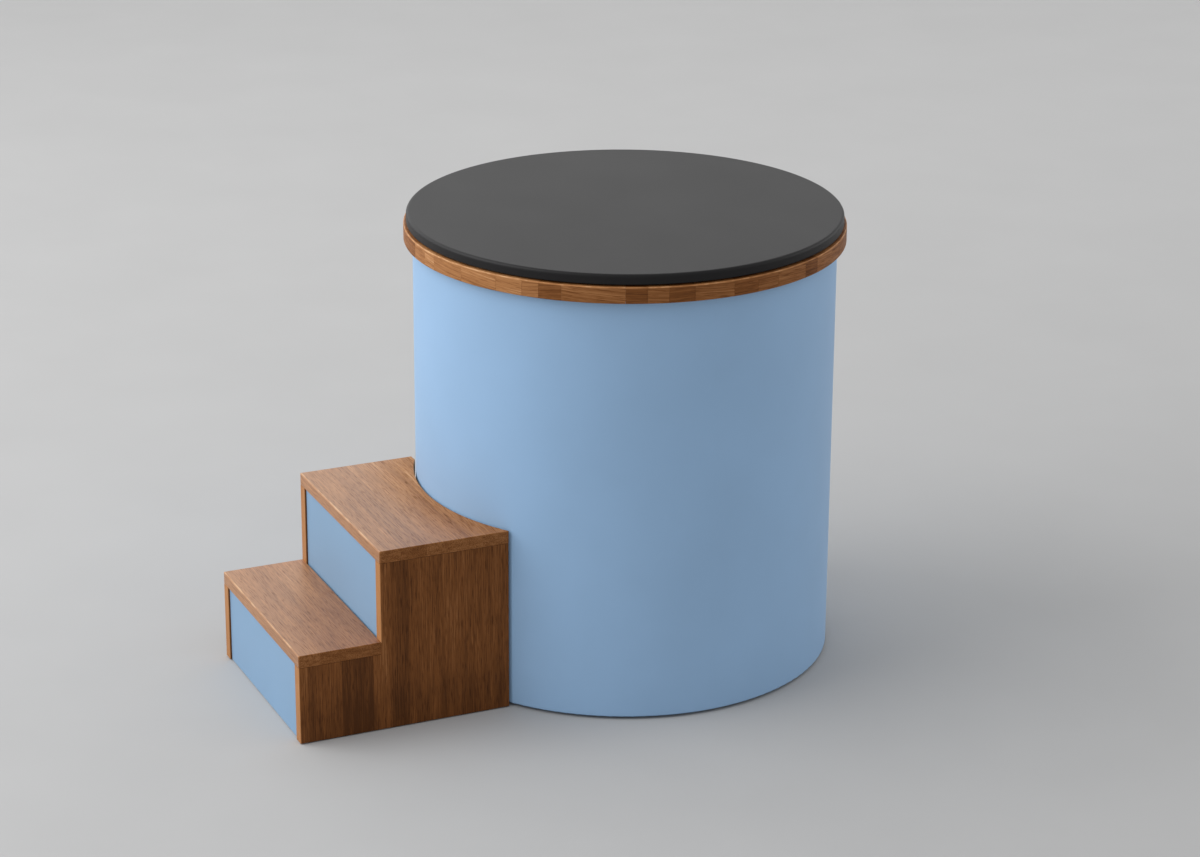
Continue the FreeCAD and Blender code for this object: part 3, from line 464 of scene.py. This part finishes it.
def tread(name, staves):
    """Wood for one tread, worn and painted lighter along its front."""
    low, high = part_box(name)
    wood = Finish(name + "_hardwood",
                  {"Specular IOR Level": WOOD_GLOSS, "Coat Roughness": FILM_ROUGHNESS})
    x, y, z = wood.axes()
    tone = stave_tones(wood, y - low.y, high.y - low.y, staves)
    middle = (low.x + high.x) / 2
    ends = (high.x - middle - abs(x - middle)).near(END_REACH)
    chips = wood.blots(TREAD_CHIP).step(*CHIP_EDGE)
    # the top front edge gets wear and a painted highlight, the front face painted light
    edge = (high.z - z).near(TREAD_EDGE_REACH) * chips.span(0.2, 0.7)
    wear_and_painted_light = (y - low.y).near(TREAD_EDGE_REACH) * (FRONT_FACE_PAINTED_LIGHT + edge)
    # the tone rises toward the left as a painted sheen
    shade = tone + (middle - x) * LEFT_PAINTED_SHEEN - ends * END_GRAIN
    hardwood(wood, x + tone * TREAD_SHIFT, y, z, shade, wear_and_painted_light)
    film = (x * x + y * y).math("SQRT").step(tub_radius, DRIP_REACH)
    wood.set(Coat_Weight=film * (1 - ends))
    wood.cover(name)


tread("lower_tread", LOWER_STAVES)
tread("upper_tread", UPPER_STAVES)

# %% Side panels with upright staves
PANEL_STAVES = ((0, 0.33), (18, 0.24), (48, 0.30), (86, 0.12), (151, 0.33), (190, 0.16), (226, 0.29),
                (296, 0.27), (358, 0.30))
PANEL_EDGE_REACH = 0.002          # how far the worn, lighter-painted front edges reach
# front faces: wear, and painted light where the lamp falls
PANEL_WEAR_AND_LIGHT = 0.66
PANEL_SHIFT = 53            # metres along the grain for a tone of 1
FOOT_SHADE_HEIGHT = 0.12            # height of the painted shade at the foot of the panels
FOOT_PAINTED_SHADE = 0.10           # painted shade taken off the tone there

panel_low, panel_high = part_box("step_side_right")
upper_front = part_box("upper_tread")[0].y
lower_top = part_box("lower_tread")[1].z
panel_wood = Finish("panel_hardwood", {"Specular IOR Level": WOOD_GLOSS})
x, y, z = panel_wood.axes()
tone = stave_tones(panel_wood, y - panel_low.y, panel_high.y - panel_low.y, PANEL_STAVES)
# the front faces are paler from wear and from painted light
upper_edge = (y - upper_front).near(PANEL_EDGE_REACH) * z.step(lower_top - PANEL_EDGE_REACH, lower_top)
wear_and_painted_light = (upper_edge + (y - panel_low.y).near(PANEL_EDGE_REACH)) * PANEL_WEAR_AND_LIGHT
# the foot of the panels is darker as painted shade
hardwood(panel_wood, z + tone * PANEL_SHIFT, y, x, tone - z.near(FOOT_SHADE_HEIGHT) * FOOT_PAINTED_SHADE, wear_and_painted_light)
panel_wood.cover("step_side_right", "step_side_left")

# %% [markdown]
# ## The lid
# The lid is moulded in charcoal plastic with a fine grain that keeps it from glaring. Two noises of
# different size make the grain, and a broad one lets the colour and the gloss wander, as on any large
# moulding. A large round edge shows every facet, so the shell is spun again in finer steps from the
# CAD piece's sizes. Only the outline's edges are spun, without its side on the axis, and the points
# that then meet on the axis are merged.

# %% Spin the lid's shell
LID_ROUND = 0.006           # top edge
LID_WALL = 0.003
LID_STEPS = 180
WELD = 0.000001             # points nearer than this are merged

lid_low, lid_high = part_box("lid_shell")
inside = lid_high.x - LID_WALL
ceiling = lid_high.z - LID_WALL
bm = bmesh.new()
rounded_outline(bm, [(0, ceiling, 0), (inside, ceiling, LID_ROUND - LID_WALL),
                     (inside, lid_low.z, 0), (lid_high.x, lid_low.z, 0),
                     (lid_high.x, lid_high.z, LID_ROUND), (0, lid_high.z, 0)])
bmesh.ops.delete(bm, geom=bm.faces[:], context="FACES_ONLY")
on_axis = [edge for edge in bm.edges if all(vert.co.x == 0 for vert in edge.verts)]
bmesh.ops.delete(bm, geom=on_axis, context="EDGES")
bmesh.ops.spin(bm, geom=[*bm.verts, *bm.edges], cent=(0, 0, 0), axis=(0, 0, 1), angle=2 * math.pi,
               steps=LID_STEPS, use_merge=True)
bmesh.ops.remove_doubles(bm, verts=bm.verts, dist=WELD)
bmesh.ops.recalc_face_normals(bm, faces=bm.faces)
lid_mesh = bpy.data.meshes.new("lid_cap")
bm.to_mesh(lid_mesh)
bm.free()
new_piece(lid_mesh, "lid", "lid_plastic", "lid_shell")

# %% Charcoal plastic
CHARCOAL = (0.0088, 0.0083, 0.0090)
WANDER_SIZE = 0.18          # metres
FINE_GRAIN = 0.0012
COARSE_GRAIN = 0.004
LID_GRAIN_DEPTH = 0.0001

lid_plastic = Finish("lid_charcoal", {"Specular IOR Level": 0.24})
wander = lid_plastic.blots(WANDER_SIZE)
lid_plastic.set(Base_Color=lid_plastic.tinted(CHARCOAL, wander.span(0.9, 1.1)),
                Roughness=wander.span(0.45, 0.50))
lid_plastic.relief(lid_plastic.blots(FINE_GRAIN) + lid_plastic.blots(COARSE_GRAIN), LID_GRAIN_DEPTH)
lid_plastic.cover("lid_cap", "lid_pan")

# %% [markdown]
# ## Inside the tub
# The liner is laid up in a mould and has a satin gelcoat, pale and slightly wavy. Behind it are foam,
# plywood and battens that show only where a piece is taken away. The gelcoat could be glossier, but
# below a roughness of about 0.27 the render's denoiser takes a surface for a mirror, and a noise that
# wanders across that limit leaves smudges. So it stays above.

# %% Gelcoat of the liner
GEL_WHITE = (0.78, 0.79, 0.78)
WAVE_SIZE = 0.09            # metres
WAVE_DEPTH = 0.0002

gelcoat = Finish("satin_gelcoat",
                 {"Specular IOR Level": 0.5, "Coat Weight": 0.3, "Coat Roughness": 0.25})
waves = gelcoat.blots(WAVE_SIZE)
gelcoat.set(Base_Color=gelcoat.tinted(GEL_WHITE, waves.span(0.97, 1.03)),
            Roughness=waves.span(0.32, 0.42))
gelcoat.relief(waves, WAVE_DEPTH)
gelcoat.cover("liner")

# %% Foam
FOAM_YELLOW = (0.72, 0.62, 0.36)
CELLS_PER_METRE = 450.0
CELL_DEPTH = 0.0006

foam = Finish("insulating_foam", {"Specular IOR Level": 0.2})
cells = foam.node("TexVoronoi", {},
                  {"Vector": foam.vector(*foam.axes()), "Scale": CELLS_PER_METRE}, "Distance")
foam.set(Base_Color=foam.tinted(FOAM_YELLOW, cells.span(0.85, 1.15)),
         Roughness=cells.span(0.9, 0.8))
foam.relief(cells, CELL_DEPTH)
foam.cover("floor_insulation", "cove_insulation", "wall_insulation", "lid_core", "lid_plug_core")

# %% Battens
BATTEN_PALE = (0.46, 0.31, 0.17)
LINE_LENGTH = 0.3           # of the grain's lines, in metres
LINE_WIDTH = 0.004


def softwood(name, grain_axis, *pieces):
    """Planed wood with no oil on it."""
    wood = Finish(name, {"Specular IOR Level": 0.25})
    axes = wood.axes()
    along = axes.pop("xyz".index(grain_axis))
    lines = wood.noise(along / LINE_LENGTH, axes[0] / LINE_WIDTH, axes[1] / LINE_WIDTH)
    wood.set(Base_Color=wood.tinted(BATTEN_PALE, lines.span(0.7, 1.3)),
             Roughness=lines.span(0.62, 0.77))
    wood.relief(lines, GRAIN_DEPTH)
    wood.cover(*pieces)


softwood("rail_softwood", "x", "step_rails", "rail_dowels")
softwood("tread_batten_softwood", "y", "tread_cleats", "rim_tenons")
softwood("riser_batten_softwood", "z", "riser_cleats")

# %% Plywood under the rim
PLYWOOD_BROWN = (0.50, 0.36, 0.22)
PLY_PAIR = 0.0026           # one pale ply and one dark ply
PLY_EDGE = (0.42, 0.58)     # where in the pair the dark ply gives way to the pale one
KNOT_SIZE = 0.03
KNOT_TONE = 0.15

plywood = Finish("rim_plywood", {"Specular IOR Level": 0.3})
x, y, z = plywood.axes()
plies = (z / PLY_PAIR).math("FRACT").step(*PLY_EDGE)
knots = plywood.blots(KNOT_SIZE)
plywood.set(Base_Color=plywood.tinted(PLYWOOD_BROWN, plies.span(0.7, 0.95) + knots * KNOT_TONE),
            Roughness=plies.span(0.6, 0.7))
plywood.cover("rim_support")

# %% [markdown]
# ## Rubber, plastic and metal of the base and the drain
# The base is black sheet, the seals are rubber and the lever's grip is dipped vinyl. They differ in
# roughness and in the size of their grain, so one function makes them all. The valve and the screws
# are plated, and plating has fine scratches that stretch its highlights.

# %% Plain mouldings
SHEET_BLACK = (0.020, 0.020, 0.022)
RUBBER_BLACK = (0.015, 0.015, 0.016)
PIPE_GREY = (0.35, 0.36, 0.37)
SEAT_WHITE = (0.80, 0.80, 0.78)
GRAIN_RISE = 0.06           # height of the grain as a share of its size
SPECK_ROUGHNESS = 0.16      # added where the grain stands up


def moulding(name, colour, roughness, grain, *pieces):
    """Moulded plastic or rubber with a grain of that size in metres."""
    plastic = Finish(name, {"Specular IOR Level": 0.4})
    speck = plastic.blots(grain)
    plastic.set(Base_Color=plastic.tinted(colour, speck.span(0.85, 1.15)),
                Roughness=roughness + speck * SPECK_ROUGHNESS)
    plastic.relief(speck, grain * GRAIN_RISE)
    plastic.cover(*pieces)


moulding("base_black", SHEET_BLACK, 0.48, 0.003, "base_plinth", "base_panel", "step_glides")
moulding("seal_rubber", RUBBER_BLACK, 0.62, 0.002, "lid_gasket", "drain_gasket", "pipe_grommet")
moulding("dipped_vinyl", SHEET_BLACK, 0.34, 0.004, "lever_grip")
moulding("pipe_grey", PIPE_GREY, 0.36, 0.006, "drain_pipe", "drain_elbow", "drain_nut")
moulding("seat_white", SEAT_WHITE, 0.30, 0.004, "valve_seats")

# %% Plated metal
NICKEL = (0.62, 0.60, 0.56)
ZINC = (0.55, 0.55, 0.56)
SCRATCH_LENGTH = 0.02       # metres
SCRATCH_WIDTH = 0.0004
SCRATCH_DEPTH = 0.00003
SCRATCH_ROUGHNESS = 0.12
DULL_SIZE = 0.02
DULL_ROUGHNESS = 0.08


def plated(name, colour, roughness, *pieces):
    """Plated metal with fine scratches and a few dull clouds."""
    metal = Finish(name, {"Metallic": 1.0})
    x, y, z = metal.axes()
    scratches = metal.noise(x / SCRATCH_LENGTH, y / SCRATCH_LENGTH, z / SCRATCH_WIDTH)
    dull = metal.blots(DULL_SIZE)
    metal.set(Base_Color=metal.tinted(colour, dull.span(0.9, 1.1)),
              Roughness=roughness + scratches * SCRATCH_ROUGHNESS + dull * DULL_ROUGHNESS)
    metal.relief(scratches, SCRATCH_DEPTH)
    metal.cover(*pieces)


plated("valve_plating", NICKEL, 0.18, "valve_body", "hose_tail", "valve_ball", "valve_stem")
plated("zinc_steel", ZINC, 0.26, "valve_lever", "lever_nut", "drain_flange", "drain_strainer",
       "base_screws", "rim_screws", "cleat_screws", "tread_screws", "riser_screws")

# %% [markdown]
# ## The studio
# The floor is one large pale sheet with a little mottling, and plain grey stands above its edge. A
# large soft lamp high on the steps' side gives the shell its bright flank and throws a soft shadow
# the other way. The sky gives even light from all sides, and two glows in it stand for lit boards. A
# broad one behind the tub and to its left puts the sheen on the lid and the treads, and a narrow one
# lights the shell's right flank.

# %% Floor
FLOOR_HALF = 40.0
FLOOR_DROP = 0.0003         # under the feet, so that no two faces coincide

bm = bmesh.new()
bmesh.ops.create_grid(bm, x_segments=1, y_segments=1, size=FLOOR_HALF)
bmesh.ops.translate(bm, verts=bm.verts, vec=(0, 0, -FLOOR_DROP))
floor_mesh = bpy.data.meshes.new("studio_floor")
bm.to_mesh(floor_mesh)
bm.free()
floor = bpy.data.objects.new("studio_floor", floor_mesh)
bpy.context.scene.collection.objects.link(floor)
print("floor is", 2 * FLOOR_HALF, "m wide")

# %% Grey of the floor
FLOOR_GREY = (0.487, 0.487, 0.487)
MOTTLE_SIZE = 0.35          # metres
FAR_PAINTED_LIGHT = 0.25             # painted light: how much paler the sheet is far behind the tub
FAR_RANGE = (-1, 5)         # metres past the tub's axis, from where it pales to where it is palest
AWAY = Vector((-0.912, 0.410, 0))       # from the camera to the tub, along the floor

sheet = Finish("floor_sheet", {"Specular IOR Level": 0.1, "Roughness": 0.9})
x, y, z = sheet.axes()
past_tub = x * AWAY.x + y * AWAY.y
mottle = sheet.blots(MOTTLE_SIZE, detail=4.0)
# the far floor is paler as painted light, on top of the mottle
mottle_and_far_light = mottle.span(0.96, 1.04) + past_tub.step(*FAR_RANGE) * FAR_PAINTED_LIGHT
sheet.set(Base_Color=sheet.tinted(FLOOR_GREY, mottle_and_far_light))
sheet.cover("studio_floor")

# %% Lamp
LAMP_PLACE = Vector((-1.0, -4.8, 4.2))
LAMP_SIZE = 5.5
LAMP_POWER = 239.0
LAMP_AIM = Vector((0, -0.1, 0.45))

light = bpy.data.lights.new("soft_lamp", "AREA")
light.size = LAMP_SIZE
light.energy = LAMP_POWER
lamp = bpy.data.objects.new("soft_lamp", light)
lamp.location = LAMP_PLACE
lamp.rotation_mode = "QUATERNION"
lamp.rotation_quaternion = (LAMP_AIM - LAMP_PLACE).to_track_quat("-Z", "Y")
bpy.context.scene.collection.objects.link(lamp)
print("lamp stands", round((LAMP_PLACE - LAMP_AIM).length, 2), "m away")

# %% Sky
BACKDROP = 0.42             # what the camera sees above the floor's edge
SKY_FILL = 0.55             # light from every side
GLOWS = (                   # towards, strength, and the cosine at which the glow begins
    (Vector((-0.935, -0.355, 0)), 1.02, 0.2),       # broad, behind the tub and to its left
    (Vector((-0.042, 0.999, 0)), 1.10, 0.7))        # narrow, on the right

world = bpy.data.worlds.new("studio_sky")
world.use_nodes = True
bpy.context.scene.world = world
sky = Graph(world.node_tree)
direction = sky.node("TexCoord", {}, {}, "Generated")
daylight = SKY_FILL
for side, strength, begin in GLOWS:
    facing = sky.node("VectorMath", {"operation": "DOT_PRODUCT"}, {0: direction, 1: side}, "Value")
    daylight = daylight + facing.step(begin, 1.0) * strength
seen = sky.node("LightPath", {}, {}, "Is Camera Ray")
sky.plug(sky.tree.nodes["Background"].inputs["Color"], daylight + seen * (BACKDROP - daylight))
print("sky of", SKY_FILL, "with", len(GLOWS), "glows")

# %% [markdown]
# ## The camera
# The camera stands where the photo was taken from: to the right of the steps, well above the lid and
# far away, with a long lens, so that upright lines stay almost parallel.

# %% Camera
PICTURE_WIDTH = 1200        # pixels
FOCAL_PIXELS = 3375.5       # focal length in the same pixels
SENSOR_WIDTH = 36.0
CAMERA_AZIMUTH = math.radians(65.823)
CAMERA_RISE = math.radians(20.380)
CAMERA_ROLL = math.radians(0.329)
CAMERA_DISTANCE = 6.8819
CAMERA_AIM = Vector((0, -0.0522, 0.4630))

level = math.cos(CAMERA_RISE)
back = Vector((math.sin(CAMERA_AZIMUTH) * level, -math.cos(CAMERA_AZIMUTH) * level,
               math.sin(CAMERA_RISE)))
lens = bpy.data.cameras.new("studio_camera")
lens.sensor_width = SENSOR_WIDTH
lens.lens = SENSOR_WIDTH * FOCAL_PIXELS / PICTURE_WIDTH
camera = bpy.data.objects.new("studio_camera", lens)
camera.location = CAMERA_AIM + back * CAMERA_DISTANCE
camera.rotation_mode = "QUATERNION"
camera.rotation_quaternion = (-back).to_track_quat("-Z", "Y") @ Quaternion((0, 0, 1), CAMERA_ROLL)
bpy.context.scene.collection.objects.link(camera)
bpy.context.scene.camera = camera
bpy.context.scene.view_settings.view_transform = "Standard"
print("lens", round(lens.lens, 1), "mm, camera at", [round(c, 3) for c in camera.location])
